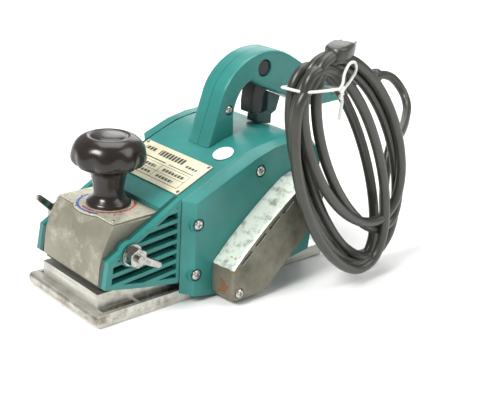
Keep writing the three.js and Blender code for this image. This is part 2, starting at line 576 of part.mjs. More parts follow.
// ---- labels --------------------------------------------------------------------------------------
function nameplate() {
  const [x0, x1, length] = [-43, 36, 36.4];
  const slope = Math.atan2(97 - 81.8, 38 - 4.3);
  return box(x0, x1, 0, length, GAP + 0.1, GAP + 0.8).rotateX(slope).translate(0, -37.8, 81.9);
}

function sticker() {
  const disc = turned([[0, 0], [0, 8.3], [0.5, 8.3], [0.5, 0]], 'z', 28).rotateX(0.37);
  return disc.translate(29.5, 10.4, 103.7);
}

add('nameplate', nameplate(), cream);
add('round_sticker', sticker(), white);

// ---- mains cord ----------------------------------------------------------------------------------
// Hand-picked route from the guard, in a loose bend, to the hank beside the machine.
const route = [[0, cord.exitY, cord.exitZ], [0, 226, 131.4], [1.5, 236, 128], [5, 243.4, 120.5], [11, 246, 111.5]];
route.push([19, 241, 104], [29, 228, 99.5], [41, 211, 97], [53, 192, 96], [64, 172, 96], [73, 154, 95.6]);

function cordTube() {
  const path = new THREE.CatmullRomCurve3(route.map((point) => new THREE.Vector3(...point)), false, 'centripetal');
  const section = new THREE.Shape().absarc(0, 0, cord.radius, 0, 2 * Math.PI, false);
  return new THREE.ExtrudeGeometry(section, { steps: 22, curveSegments: 5, extrudePath: path });
}

// A closed smooth loop through a few points.
function smoothLoop(points, count) {
  const curve = new THREE.CatmullRomCurve3(points.map(([y, z]) => new THREE.Vector3(y, z, 0)), true, 'centripetal');
  return curve.getSpacedPoints(count).slice(0, count).map(({ x, y }) => new THREE.Vector2(x, y));
}

// The hank stands upright: an egg-shaped ring of strands that leans to the rear at its foot.
function hankSolid() {
  const rim = [[16, 110], [13.6, 150], [13.8, 168], [20, 183], [32, 186], [60, 185.4], [84, 178], [110, 160]];
  rim.push([134, 134], [150, 108], [156, 84], [152, 55], [140, 28], [118, 8], [88, 1.6], [56, 6], [34, 30], [22, 70]);
  const hole = [[50.4, 165], [56, 169], [70, 156], [84, 132], [96, 106], [97, 84], [88, 80], [76, 98], [62, 124]];
  hole.push([54, 148]);
  const ring = slab(new THREE.Shape(smoothLoop(rim, 40)), coil.from, coil.to);
  return cutBy(ring, slab(new THREE.Shape(smoothLoop(hole, 24)), coil.from - 1, coil.to + 1));
}

// Flat plug lying on the hank, its two pins turned away from the machine's nose.
function plug() {
  const body = outline([[-7, 0], [7, 0], [9, 3], [9.4, 10], [9.4, 24], [8, 26], [-8, 26], [-9.4, 24], [-9.4, 10], [-9, 3]]);
  const pins = [-6.4, 4.8].map((x) => box(x, x + 1.6, 25, 42, -3, 3));
  return joined(plate(body, -7, 7), ...pins).rotateZ(0.5).translate(102, 44, 193.6);
}

// Wire twisted round the strands at the top of the hank.
function cordTie() {
  const [y0, y1, x0, x1] = [12, 52.4, coil.from - 0.8, coil.to + 0.8];
  const band = outline([[x0 - 1.2, y0 - 1.2], [x1 + 1.2, y0 - 1.2], [x1 + 1.2, y1 + 1.2], [x0 - 1.2, y1 + 1.2]]);
  band.holes.push(outline([[x0, y0], [x1, y0], [x1, y1], [x0, y1]]));
  return plate(band, 163.6, 166);
}

add('cord', cordTube(), rubber);
add('cord_coil', hankSolid(), rubber);
add('cord_tie', cordTie(), white);
add('plug', plug(), rubber);

// The frame's origin lies on the sole, in the middle of the rear base.
model.position.y = -63;

export default model;
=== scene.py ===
"""Looks for the electric hand planer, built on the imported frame. Metres, +Z up, knob end at -Y."""
import math

import bmesh
import bpy
from mathutils import Matrix, Vector


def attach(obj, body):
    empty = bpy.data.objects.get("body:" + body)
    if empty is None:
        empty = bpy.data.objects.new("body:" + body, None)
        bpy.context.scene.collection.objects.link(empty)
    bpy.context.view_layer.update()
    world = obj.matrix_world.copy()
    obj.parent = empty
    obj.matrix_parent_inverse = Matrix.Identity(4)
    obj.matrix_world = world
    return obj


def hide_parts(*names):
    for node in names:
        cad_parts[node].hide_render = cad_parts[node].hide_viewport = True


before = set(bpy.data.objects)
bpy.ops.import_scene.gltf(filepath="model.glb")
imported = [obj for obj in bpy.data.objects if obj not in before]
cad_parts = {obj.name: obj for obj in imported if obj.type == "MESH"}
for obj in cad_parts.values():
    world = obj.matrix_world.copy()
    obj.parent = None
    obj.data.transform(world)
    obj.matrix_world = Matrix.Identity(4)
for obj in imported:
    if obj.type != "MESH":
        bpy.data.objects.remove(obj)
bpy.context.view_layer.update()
MM = 0.001
Y0 = -0.063  # the frame's origin is 63 mm behind the cutter's datum
KNOB_Y = -73  # the depth screw's axis
CORD_RADIUS = 0.004
WIRE_RADIUS = 0.0011


def at(x, y, z):
    """A point in millimetres from the sole datum, as a vector in the row frame."""
    return Vector((x * MM, y * MM + Y0, z * MM))


# ---- material helpers ---------------------------------------------------------------------
class Mat:
    """A procedural material: a few node helpers round one Principled shader."""

    def __init__(self, name, base, rough=0.5, metal=0.0, spec=0.5, coat=0.0):
        self.m = bpy.data.materials.new(name)
        self.m.use_nodes = True
        self.t = self.m.node_tree
        self.p = self.t.nodes["Principled BSDF"]
        self.p.inputs["Base Color"].default_value = (*base, 1)
        self.p.inputs["Roughness"].default_value = rough
        self.p.inputs["Metallic"].default_value = metal
        self.p.inputs["Specular IOR Level"].default_value = spec
        self.p.inputs["Coat Weight"].default_value = coat
        self.p.inputs["Coat Roughness"].default_value = 0.15
        self.coord = self.t.nodes.new("ShaderNodeTexCoord").outputs["Object"]

    def node(self, kind, **values):
        n = self.t.nodes.new(kind)
        for key, value in values.items():
            if key in n.inputs:
                n.inputs[key].default_value = value
            else:
                setattr(n, key, value)
        return n

    def link(self, a, b):
        self.t.links.new(a, b)

    def noise(self, scale, detail=4, rough=0.6, stretch=(1, 1, 1)):
        mapping = self.node("ShaderNodeMapping")
        mapping.inputs["Scale"].default_value = stretch
        self.link(self.coord, mapping.inputs["Vector"])
        n = self.node("ShaderNodeTexNoise", Scale=scale, Detail=detail, Roughness=rough)
        self.link(mapping.outputs[0], n.inputs["Vector"])
        return n.outputs["Fac"]

    def ramp(self, fac, stops):
        r = self.node("ShaderNodeValToRGB")
        while len(r.color_ramp.elements) < len(stops):
            r.color_ramp.elements.new(0.5)
        for e, (pos, col) in zip(r.color_ramp.elements, stops):
            e.position = pos
            e.color = (*col, 1) if len(col) == 3 else col
        self.link(fac, r.inputs["Fac"])
        return r.outputs["Color"]

    def math(self, op, a, b=0.0, c=0.0):
        n = self.node("ShaderNodeMath", operation=op)
        for i, v in enumerate((a, b, c)):
            if isinstance(v, (int, float)):
                n.inputs[i].default_value = v
            else:
                self.link(v, n.inputs[i])
        return n.outputs[0]

    def mix(self, fac, a, b, blend="MIX"):
        n = self.node("ShaderNodeMix", data_type="RGBA", blend_type=blend)
        for sock, v in ((n.inputs[0], fac), (n.inputs[6], a), (n.inputs[7], b)):
            if isinstance(v, tuple):
                sock.default_value = (*v, 1)
            elif isinstance(v, (int, float)):
                sock.default_value = v
            else:
                self.link(v, sock)
        return n.outputs[2]

    def axes(self):
        n = self.node("ShaderNodeSeparateXYZ")
        self.link(self.coord, n.inputs[0])
        return n.outputs

    def color(self, value):
        self.link(value, self.p.inputs["Base Color"])

    def rough(self, fac, low, high):
        n = self.node("ShaderNodeMapRange")
        n.inputs["To Min"].default_value = low
        n.inputs["To Max"].default_value = high
        self.link(fac, n.inputs["Value"])
        self.link(n.outputs[0], self.p.inputs["Roughness"])

    def bump(self, height, strength=0.2, distance=0.0003):
        n = self.node("ShaderNodeBump", Strength=strength, Distance=distance)
        self.link(height, n.inputs["Height"])
        self.link(n.outputs[0], self.p.inputs["Normal"])

    def band(self, value, low, high):
        """1 where low < value < high."""
        return self.math("MULTIPLY", self.math("GREATER_THAN", value, low), self.math("LESS_THAN", value, high))


def teal_plastic(name, paint_recess_shade=False):
    m = Mat(name, (0.012, 0.19, 0.17), 0.36, spec=0.45, coat=0.12)
    big = m.noise(22, 3)
    base = m.ramp(big, [(0.3, (0.018, 0.17, 0.15)), (0.7, (0.026, 0.235, 0.212))])
    scuff = m.ramp(m.noise(160, 6, 0.75, (1, 0.35, 1)), [(0.66, (0, 0, 0)), (0.76, (1, 1, 1))])
    base = m.mix(m.math("MULTIPLY", scuff, 0.16), base, (0.2, 0.42, 0.4))
    dirt = m.ramp(m.noise(38, 5, 0.7), [(0.56, (0, 0, 0)), (0.78, (1, 1, 1))])
    base = m.mix(m.math("MULTIPLY", dirt, 0.3), base, (0.02, 0.12, 0.11))
    if paint_recess_shade:  # painted shade: the teal is darkened deep behind the ribs, where |x| is under 40.5 mm
        x = m.axes()[0]
        recess_shade_mask = m.math("LESS_THAN", m.math("ABSOLUTE", x), 0.0405)
        base = m.mix(m.math("MULTIPLY", recess_shade_mask, 0.8), base, (0.006, 0.03, 0.028))
    m.color(base)
    m.rough(m.noise(60, 5), 0.27, 0.5)
    m.bump(m.noise(1500, 2), 0.12, 0.0001)
    return m.m


def machined(name, tint, stain, amount):
    m = Mat(name, tint, 0.32, 1.0)
    grain = m.noise(260, 3, 0.6, (1, 0.06, 1))
    base = m.ramp(grain, [(0.3, tuple(c * 0.78 for c in tint)), (0.7, tint)])
    spots = m.ramp(m.noise(55, 6, 0.72), [(0.5, (0, 0, 0)), (0.68, (1, 1, 1))])
    base = m.mix(m.math("MULTIPLY", spots, amount), base, stain)
    m.color(base)
    m.rough(m.noise(90, 5), 0.24, 0.5)
    m.bump(grain, 0.15, 0.0002)
    return m.m


def worn_cast(name, paint, bare, low, high):
    """Grey casting whose paint has rubbed through to bright metal in patches."""
    m = Mat(name, paint, 0.45, 0.35)
    patch = m.ramp(m.noise(70, 7, 0.7, (1, 0.5, 1)), [(low, (0, 0, 0)), (high, (1, 1, 1))])
    grime = m.ramp(m.noise(28, 5, 0.65), [(0.4, (0, 0, 0)), (0.75, (1, 1, 1))])
    base = m.mix(grime, paint, tuple(c * 0.62 for c in paint))
    m.color(m.mix(patch, base, bare))
    m.rough(m.noise(120, 5), 0.3, 0.6)
    m.bump(m.noise(420, 4), 0.25, 0.0002)
    return m.m


def plain_metal(name, tint, rough=0.28):
    m = Mat(name, tint, rough, 1.0)
    wear = m.noise(240, 5, 0.7)
    m.color(m.ramp(wear, [(0.35, tuple(c * 0.55 for c in tint)), (0.6, tint)]))
    m.rough(wear, rough * 0.7, rough * 1.6)
    m.bump(m.noise(900, 3), 0.1, 0.0001)
    return m.m


def moulded(name, tint, low, high, bump=0.15, scale=900, coat=0.0):
    m = Mat(name, tint, low, spec=0.45, coat=coat)
    m.color(m.ramp(m.noise(45, 5, 0.65), [(0.35, tint), (0.75, tuple(c * 1.55 + 0.004 for c in tint))]))
    m.rough(m.noise(110, 4), low, high)
    m.bump(m.noise(scale, 3), bump, 0.00015)
    return m.m


def cord_rubber():
    m = Mat("cord_rubber", (0.05, 0.05, 0.04), 0.5, spec=0.65)
    m.color(m.ramp(m.noise(35, 5, 0.6), [(0.3, (0.02, 0.02, 0.015)), (0.7, (0.045, 0.044, 0.034))]))
    m.rough(m.noise(70, 5), 0.24, 0.48)
    m.bump(m.noise(700, 3), 0.18, 0.0002)
    return m.m


def dial_plate():
    """The pale worn plate with a blue arc on the left and a red arc behind the knob."""
    m = Mat("dial_plate", (0.5, 0.48, 0.38), 0.4, 0.3)
    x, y, _ = m.axes()
    dy = m.math("SUBTRACT", y, at(0, KNOB_Y, 0).y)
    r = m.math("SQRT", m.math("ADD", m.math("MULTIPLY", x, x), m.math("MULTIPLY", dy, dy)))
    angle = m.math("ARCTAN2", dy, x)
    worn = m.noise(90, 6, 0.7)
    base = m.ramp(worn, [(0.3, (0.3, 0.28, 0.21)), (0.55, (0.56, 0.54, 0.43)), (0.75, (0.7, 0.69, 0.6))])
    rub = m.math("GREATER_THAN", m.noise(300, 4), 0.36)
    blue = m.math("MULTIPLY", m.band(r, 0.0216, 0.0236), m.band(angle, -3.1, -0.95))
    red = m.math("MULTIPLY", m.band(r, 0.0184, 0.0204), m.band(angle, -1.9, 1.1))
    base = m.mix(m.math("MULTIPLY", blue, rub), base, (0.03, 0.1, 0.42))
    base = m.mix(m.math("MULTIPLY", red, rub), base, (0.5, 0.045, 0.03))
    tick = m.math("LESS_THAN", m.math("ABSOLUTE", m.math("SINE", m.math("MULTIPLY", angle, 16.0))), 0.16)
    ticks = m.math("MULTIPLY", tick, m.band(r, 0.0205, 0.0225))
    m.color(m.mix(m.math("MULTIPLY", ticks, 0.8), base, (0.02, 0.02, 0.02)))
    m.rough(worn, 0.3, 0.6)
    m.bump(m.noise(500, 4), 0.2, 0.0001)
    return m.m


def printed_plate():
    """Cream plate with generic bars and boxes in place of writing."""
    m = Mat("printed_plate", (0.72, 0.68, 0.46), 0.35, 0.1)
    x, y, _ = m.axes()
    u = m.math("DIVIDE", m.math("SUBTRACT", x, -0.043), 0.079)
    v = m.math("DIVIDE", m.math("SUBTRACT", y, at(0, -37.8, 0).y), 0.0335)
    age = m.noise(60, 5)
    base = m.ramp(age, [(0.3, (0.56, 0.53, 0.36)), (0.7, (0.78, 0.75, 0.56))])

    def block(u0, u1, v0, v1):
        return m.math("MULTIPLY", m.band(u, u0, u1), m.band(v, v0, v1))

    cells = m.math("GREATER_THAN", m.math("FRACT", m.math("MULTIPLY", u, 22.0)), 0.24)
    jitter = m.math("GREATER_THAN", m.noise(900, 2), 0.36)
    ink = m.math("MULTIPLY", block(0.3, 0.68, 0.7, 0.86), cells)
    for u0, u1, v0, v1 in ((0.08, 0.5, 0.56, 0.59), (0.55, 0.92, 0.56, 0.58), (0.08, 0.92, 0.1, 0.115),
                           (0.08, 0.92, 0.5, 0.51), (0.5, 0.506, 0.1, 0.5), (0.08, 0.086, 0.1, 0.5),
                           (0.914, 0.92, 0.1, 0.5), (0.08, 0.92, 0.3, 0.31)):
        ink = m.math("MAXIMUM", ink, block(u0, u1, v0, v1))
    for u0, u1, v0, v1 in ((0.12, 0.44, 0.36, 0.44), (0.55, 0.88, 0.36, 0.44), (0.12, 0.46, 0.17, 0.24),
                           (0.55, 0.8, 0.17, 0.24), (0.08, 0.24, 0.74, 0.84), (0.74, 0.9, 0.68, 0.74)):
        line = m.math("MULTIPLY", block(u0, u1, v0, v1), cells)
        ink = m.math("MAXIMUM", ink, m.math("MULTIPLY", line, jitter))
    m.color(m.mix(m.math("MULTIPLY", ink, 0.95), base, (0.015, 0.015, 0.015)))
    m.rough(age, 0.25, 0.5)
    m.bump(m.noise(700, 3), 0.08, 0.0001)
    return m.m


def tray_metal():
    """Light machined alloy of the front base, with brown oil dried in the tray."""
    m = Mat("tray_metal", (0.66, 0.65, 0.6), 0.35, 0.85)
    _, _, z = m.axes()
    grain = m.noise(220, 3, 0.6, (0.08, 1, 1))
    base = m.ramp(grain, [(0.3, (0.5, 0.49, 0.44)), (0.7, (0.74, 0.73, 0.68))])
    low = m.math("LESS_THAN", z, 0.0092)
    high = m.math("GREATER_THAN", z, 0.0035)
    oil = m.ramp(m.noise(75, 6, 0.7), [(0.42, (0, 0, 0)), (0.62, (1, 1, 1))])
    in_tray = m.math("MULTIPLY", low, high)
    amount = m.math("MULTIPLY", oil, m.math("ADD", m.math("MULTIPLY", in_tray, 0.45), 0.25))
    m.color(m.mix(amount, base, (0.16, 0.1, 0.045)))
    m.rough(m.noise(110, 5), 0.25, 0.55)
    m.bump(m.noise(500, 4), 0.18, 0.0002)
    return m.m


def belt_guard():
    """Olive-grey cast guard, whitish on faces turned upwards (partly worn patches, partly a painted reflection),
    rust at the front corner.
    """
    m = Mat("belt_guard", (0.3, 0.3, 0.25), 0.45, 0.45)
    g = m.node("ShaderNodeNewGeometry")
    up = m.node("ShaderNodeSeparateXYZ")
    m.link(g.outputs["Normal"], up.inputs[0])
    _, y, _ = m.axes()
    patch = m.noise(95, 7, 0.72, (1, 0.45, 1))
    olive = m.ramp(m.noise(40, 5), [(0.3, (0.1, 0.095, 0.065)), (0.7, (0.24, 0.235, 0.18))])
    bare = m.ramp(m.noise(150, 5), [(0.32, (0.3, 0.33, 0.28)), (0.5, (0.7, 0.74, 0.66))])
    # painted reflection: faces turned upwards are pushed to the whitish colour, mixed with random worn patches
    wear = m.math("GREATER_THAN", m.math("ADD", m.math("MULTIPLY", up.outputs[2], 0.9), patch), 0.72)
    base = m.mix(wear, olive, bare)
    front = m.math("LESS_THAN", y, at(0, -7, 0).y)
    rust = m.math("MULTIPLY", front, m.math("GREATER_THAN", m.noise(80, 5), 0.55))
    m.color(m.mix(m.math("MULTIPLY", rust, 0.75), base, (0.24, 0.09, 0.03)))
    m.rough(m.noise(130, 5), 0.3, 0.6)
    m.bump(m.noise(380, 5), 0.3, 0.0002)
    return m.m


TEAL = teal_plastic("teal_plastic")
SHADED_RIBS = teal_plastic("teal_ribs_painted_shade", paint_recess_shade=True)
TRAY = tray_metal()
ALLOY = machined("machined_alloy", (0.66, 0.66, 0.62), (0.2, 0.15, 0.09), 0.35)
BRACKET = worn_cast("bracket_paint", (0.3, 0.285, 0.22), (0.52, 0.5, 0.42), 0.5, 0.74)
DIAL = dial_plate()
CAST = worn_cast("cast_housing", (0.34, 0.33, 0.29), (0.5, 0.5, 0.46), 0.6, 0.8)
GUARD = belt_guard()
STEEL = plain_metal("bright_steel", (0.62, 0.61, 0.58), 0.24)
CHROME = plain_metal("worn_chrome", (0.5, 0.49, 0.46), 0.2)
DARK_STEEL = plain_metal("dark_steel", (0.16, 0.16, 0.16), 0.35)
COPPER = plain_metal("copper", (0.62, 0.28, 0.13), 0.3)
BLACK = moulded("black_plastic", (0.014, 0.014, 0.014), 0.3, 0.5)
KNOB = moulded("knob_plastic", (0.012, 0.008, 0.006), 0.16, 0.32, 0.06, 500, coat=0.2)
RUBBER = moulded("dark_rubber", (0.03, 0.03, 0.026), 0.45, 0.7, 0.3, 600)
CORD = cord_rubber()
CARBON = moulded("carbon", (0.02, 0.02, 0.022), 0.6, 0.8)
PLATE = printed_plate()
PAPER = moulded("white_paper", (0.72, 0.72, 0.7), 0.4, 0.55, 0.08)
TIE = moulded("white_tie", (0.62, 0.62, 0.6), 0.35, 0.5, 0.1)
# painted shade: the handle post is the handle's teal plastic, coloured much darker to stand in for the shade it
# sits in
SHADED_POST = moulded("teal_post_painted_shade", (0.006, 0.05, 0.05), 0.28, 0.45)

LOOKS = {
    "front_base": (TRAY, "machined_alloy"), "rear_base": (ALLOY, "machined_alloy"),
    "front_bracket": (BRACKET, "bracket_paint"), "scale_plate": (DIAL, "bracket_paint"),
    "main_frame": (CAST, "cast_housing"), "belt_cover": (GUARD, "cast_housing"),
    "cutter_pulley": (CAST, "cast_housing"), "motor_pulley": (CAST, "cast_housing"),
    "dust_seal": (RUBBER, "rubber"), "drive_belt": (RUBBER, "rubber"), "cord_guard": (CORD, "rubber"),
    "depth_screw": (STEEL, "bright_steel"), "armature_shaft": (STEEL, "bright_steel"),
    "cutter_drum": (DARK_STEEL, "dark_steel"), "field_stator": (DARK_STEEL, "dark_steel"),
    "blade_clamp_1": (DARK_STEEL, "dark_steel"), "blade_clamp_2": (DARK_STEEL, "dark_steel"),
    "blade_1": (STEEL, "bright_steel"), "blade_2": (STEEL, "bright_steel"),
    "armature_core": (COPPER, "copper"), "commutator": (COPPER, "copper"),
    "brush_holder_front": (COPPER, "copper"), "brush_holder_rear": (COPPER, "copper"),
    "brush_front": (CARBON, "carbon"), "brush_rear": (CARBON, "carbon"),
    "fan": (BLACK, "black_plastic"), "chip_chute": (BLACK, "black_plastic"),
    "switch_body": (BLACK, "black_plastic"), "trigger": (BLACK, "black_plastic"),
    "lock_button": (BLACK, "black_plastic"), "handle_post": (SHADED_POST, "post_grey"),
    "nameplate": (PLATE, "plate_cream"), "round_sticker": (PAPER, "white_paper"),
}
for node in ("motor_housing", "side_cover_left", "side_cover_right", "handle_left", "handle_right"):
    LOOKS[node] = (TEAL, "teal_plastic")
# the rib panels take the teal with painted shade darkening the space behind the ribs
for node in ("rib_panel_left", "rib_panel_right"):
    LOOKS[node] = (SHADED_RIBS, "teal_plastic")
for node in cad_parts:
    if "bearing" in node or "screw" in node and node != "depth_screw":
        LOOKS[node] = (STEEL, "bright_steel")
    if node.startswith("wing_bolt"):
        LOOKS[node] = (CHROME, "bright_steel")

# Rounding of each carried-over CAD node's edges, in millimetres.
ROUND = {"handle_left": 3.0, "handle_right": 3.0, "side_cover_left": 1.3, "side_cover_right": 1.2,
         "belt_cover": 0.8, "motor_housing": 1.2, "front_bracket": 1.3, "front_base": 0.6, "rear_base": 0.8,
         "rib_panel_left": 0.7, "rib_panel_right": 0.7, "main_frame": 0.8, "wing_bolt_left": 0.5,
         "wing_bolt_right": 0.5, "trigger": 1.2, "handle_post": 1.0, "chip_chute": 0.8, "lock_button": 0.8,
         "cord_guard": 0.4, "scale_plate": 0.3, "nameplate": 0.12, "round_sticker": 0.12}


def smooth(obj, bevel, limit=30):
    """Coplanar facets joined, edges rounded, and normals smoothed."""
    mesh = obj.data
    mesh.polygons.foreach_set("use_smooth", [True] * len(mesh.polygons))
    if "custom_normal" in mesh.attributes:
        mesh.attributes.remove(mesh.attributes["custom_normal"])
    weld = obj.modifiers.new("weld", "WELD")
    weld.merge_threshold = 1e-5
    flat = obj.modifiers.new("flat", "DECIMATE")
    flat.decimate_type = "DISSOLVE"
    flat.angle_limit = math.radians(1.0)
    edge = obj.modifiers.new("edge", "BEVEL")
    edge.width = bevel * MM
    edge.segments = 2
    edge.limit_method = "ANGLE"
    edge.angle_limit = math.radians(limit)
    normals = obj.modifiers.new("normals", "WEIGHTED_NORMAL")
    normals.weight = 80
    normals.keep_sharp = True


def paint(obj, material, slot=None):
    obj.data.materials.clear()
    obj.data.materials.append(material)
    return obj


for name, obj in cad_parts.items():
    if name in LOOKS:
        paint(obj, LOOKS[name][0], LOOKS[name][1])
        smooth(obj, ROUND.get(name, 0.25))


# ---- mesh helpers -------------------------------------------------------------------------
def mesh_object(name, verts, faces, material, slot, body):
    mesh = bpy.data.meshes.new(name)
    mesh.from_pydata([tuple(v) for v in verts], [], faces)
    mesh.update()
    bm = bmesh.new()
    bm.from_mesh(mesh)
    bmesh.ops.recalc_face_normals(bm, faces=bm.faces)
    bm.to_mesh(mesh)
    bm.free()
    obj = bpy.data.objects.new(name, mesh)
    bpy.context.scene.collection.objects.link(obj)
    mesh.polygons.foreach_set("use_smooth", [True] * len(mesh.polygons))
    paint(obj, material, slot)
    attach(obj, body)
    return obj


def rings(sections):
    """Quads between closed rings of equal length, with flat ends."""
    count = len(sections[0])
    verts = [v for ring in sections for v in ring]
    faces = []
    for s in range(len(sections) - 1):
        for i in range(count):
            a, b = s * count + i, s * count + (i + 1) % count
            faces.append((a, b, b + count, a + count))
    faces.append(tuple(range(count)))
    faces.append(tuple((len(sections) - 1) * count + i for i in range(count)))
    return verts, faces


def tube(name, points, radius, material, slot, body, sides=12, cyclic=False):
    """A round tube along points, as a mesh, with flat ends where it is open."""
    n = len(points)
    tangents = []
    for i in range(n):
        a = points[(i - 1) % n] if cyclic else points[max(i - 1, 0)]
        b = points[(i + 1) % n] if cyclic else points[min(i + 1, n - 1)]
        tangents.append((b - a).normalized())
    normal = tangents[0].orthogonal().normalized()
    sections = []
    for i in range(n):
        normal = (normal - tangents[i] * normal.dot(tangents[i])).normalized()
        side = tangents[i].cross(normal)
        sections.append([points[i] + (normal * math.cos(t) + side * math.sin(t)) * radius
                         for t in (2 * math.pi * k / sides for k in range(sides))])
    verts, faces = rings(sections)
    if cyclic:
        faces = faces[:-2]
        last = (n - 1) * sides
        twist = min(range(sides), key=lambda k: (sections[0][k] - sections[-1][0]).length)
        faces += [(last + i, last + (i + 1) % sides, (i + 1 + twist) % sides, (i + twist) % sides)
                  for i in range(sides)]
    return mesh_object(name, verts, faces, material, slot, body)


def spline(points, step=0.003):
    """Points a step apart on a smooth curve through given points."""
    out = []
    pts = [points[0] * 2 - points[1]] + list(points) + [points[-1] * 2 - points[-2]]
    for i in range(1, len(pts) - 2):
        p0, p1, p2, p3 = pts[i - 1:i + 3]
        d = [max((b - a).length, 1e-6) ** 0.5 for a, b in ((p0, p1), (p1, p2), (p2, p3))]
        m1 = (p1 - p0) / d[0] - (p2 - p0) / (d[0] + d[1]) + (p2 - p1) / d[1]
        m2 = (p2 - p1) / d[1] - (p3 - p1) / (d[1] + d[2]) + (p3 - p2) / d[2]
        m1, m2 = m1 * d[1], m2 * d[1]
        n = max(2, round((p2 - p1).length / step))
        for k in range(n):
            t = k / n
            out.append(p1 * (2 * t ** 3 - 3 * t ** 2 + 1) + m1 * (t ** 3 - 2 * t ** 2 + t)
                       + p2 * (-2 * t ** 3 + 3 * t ** 2) + m2 * (t ** 3 - t ** 2))
    out.append(points[-1].copy())
    return out


# ---- depth knob ---------------------------------------------------------------------------
def depth_knob():
    profile = [(0, 15.2), (0, 16.4), (1.4, 16.4), (2.6, 15.6), (4.6, 12.6), (8.1, 10.8), (15, 11.7), (22, 13.2),
               (26, 14.6), (27.6, 18.4), (28.6, 21.4), (30.5, 25), (33, 27), (36, 27.6), (39, 27.2), (43, 26),
               (47, 23.6), (49.6, 20.6), (51.2, 17), (51.6, 15), (51.1, 14.2), (50.9, 13.2), (51.6, 12.4),
               (52.3, 10), (52.6, 5), (52.8, 0.6)]
    count = 96
    sections = []
    for h, r in profile:
        lobed = max(0.0, 1 - abs(h - 33.5) / 9.5)
        ring = []
        for k in range(count):
            t = 2 * math.pi * k / count
            groove = (0.5 - 0.5 * math.cos(9 * t)) ** 2
            radius = r - 2.9 * lobed * groove
            ring.append(at(radius * math.cos(t), KNOB_Y + radius * math.sin(t), 72.95 + h))
        sections.append(ring)
    verts, faces = rings(sections)
    obj = mesh_object("knob_grip", verts, faces, KNOB, "knob_plastic", "knob")
    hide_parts("depth_knob")


depth_knob()


# ---- rivets -------------------------------------------------------------------------------
def rivet(name, centre, axis, radius, height, material, slot, body):
    axis = Vector(axis).normalized()
    side = axis.orthogonal().normalized()
    other = axis.cross(side)
    sections = []
    for h, r in ((0, 1), (0.35, 0.97), (0.7, 0.8), (0.92, 0.5), (1, 0.12)):
        lift, reach = axis * (height * h * MM), radius * r * MM
        sections.append([centre + lift + (side * math.cos(t) + other * math.sin(t)) * reach
                         for t in (2 * math.pi * k / 20 for k in range(20))])
    verts, faces = rings(sections)
    return mesh_object(name, verts, faces, material, slot, body)


slope = math.atan2(97 - 81.8, 38 - 4.3)
up_slope = (0, -math.sin(slope), math.cos(slope))
for i, (x, s) in enumerate(((-40.6, 2.4), (33.6, 2.4), (-40.6, 34), (33.6, 34))):
    centre = at(x, -37.8 + s * math.cos(slope), 81.9 + s * math.sin(slope) + 0.85)
    rivet(f"plate_rivet_{i + 1}", centre, up_slope, 1.5, 0.8, DARK_STEEL, "dark_steel", "housing")
for i, (x, y) in enumerate(((-30.6, -90), (30.6, -90), (-30.6, -46), (30.6, -46))):
    rivet(f"scale_rivet_{i + 1}", at(x, y, 72.5), (0, 0, 1), 1.5, 0.8, STEEL, "bright_steel", "housing")
for i, t in enumerate((200, 250, 292, 335)):
    a = math.radians(t)
    rivet(f"dial_pip_{i + 1}", at(24.2 * math.cos(a), KNOB_Y + 24.2 * math.sin(a), 72.5), (0, 0, 1), 0.8, 0.4,
          DARK_STEEL, "dark_steel", "housing")


# ---- mains cord ---------------------------------------------------------------------------
LEAD = [(0, 217.3, 132), (0, 226, 131.4), (1.5, 236, 128), (5, 243.4, 120.5), (11, 246, 111.5), (19, 241, 104),
        (29, 228, 99.5), (41, 211, 97), (53, 192, 96), (64, 172, 96), (72, 156, 95.4)]
# Each turn of the hank: centre, half-vector to its foot, half-vector to its rear side, as (y, z).
TURNS = [((80, 95), (38, -84), (54, -3)), ((68, 95), (40, -84), (42, 4)), ((80, 95), (38, -86), (52, 8)),
         ((85, 110), (48, -75), (36, 18)), ((87, 123), (44, -61), (27, 18)), ((66, 97), (38, -84), (40, 6)),
         ((70, 97), (30, -86), (48, 4))]
# Where the strands lie across the hank (x), at each half turn.
LAYERS = [80, 84.4, 84.6, 93, 93.4, 86.6, 92, 98, 100, 102, 102.4, 102.2, 102.2]
END_TURN = 5.64


def eased(values, t):
    i = min(int(t), len(values) - 2)
    f = min(t - i, 1.0)
    return values[i] + (values[i + 1] - values[i]) * f * f * (3 - 2 * f)


def hank_point(turn):
    angle = math.radians(90 - 360 * turn)
    c, u, v = [[eased([t[k][a] for t in TURNS], turn) for a in (0, 1)] for k in (0, 1, 2)]
    y = c[0] + u[0] * math.cos(angle) + v[0] * math.sin(angle)
    z = c[1] + u[1] * math.cos(angle) + v[1] * math.sin(angle)
    x = eased(LAYERS, turn * 2)
    y += (100 - x) * 0.8 * (1 - math.sin(angle)) / 2  # the inner turns lean towards the tie
    return at(x, y, max(z, 5.2))


def mains_cord():
    picked = [at(*p) for p in LEAD]
    steps = int(END_TURN * 16)
    picked += [hank_point(0.055 + (END_TURN - 0.055) * k / steps) for k in range(steps + 1)]
    picked += [at(102.2, 26, 174), at(102.2, 33.4, 185.4), at(102, 43.6, 190.6)]
    path = spline(picked)
    length = sum((b - a).length for a, b in zip(path, path[1:]))
    cord = tube("mains_cord", path, CORD_RADIUS, CORD, "rubber", "housing", sides=14)
    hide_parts("cord", "cord_coil")
    return cord, path, length


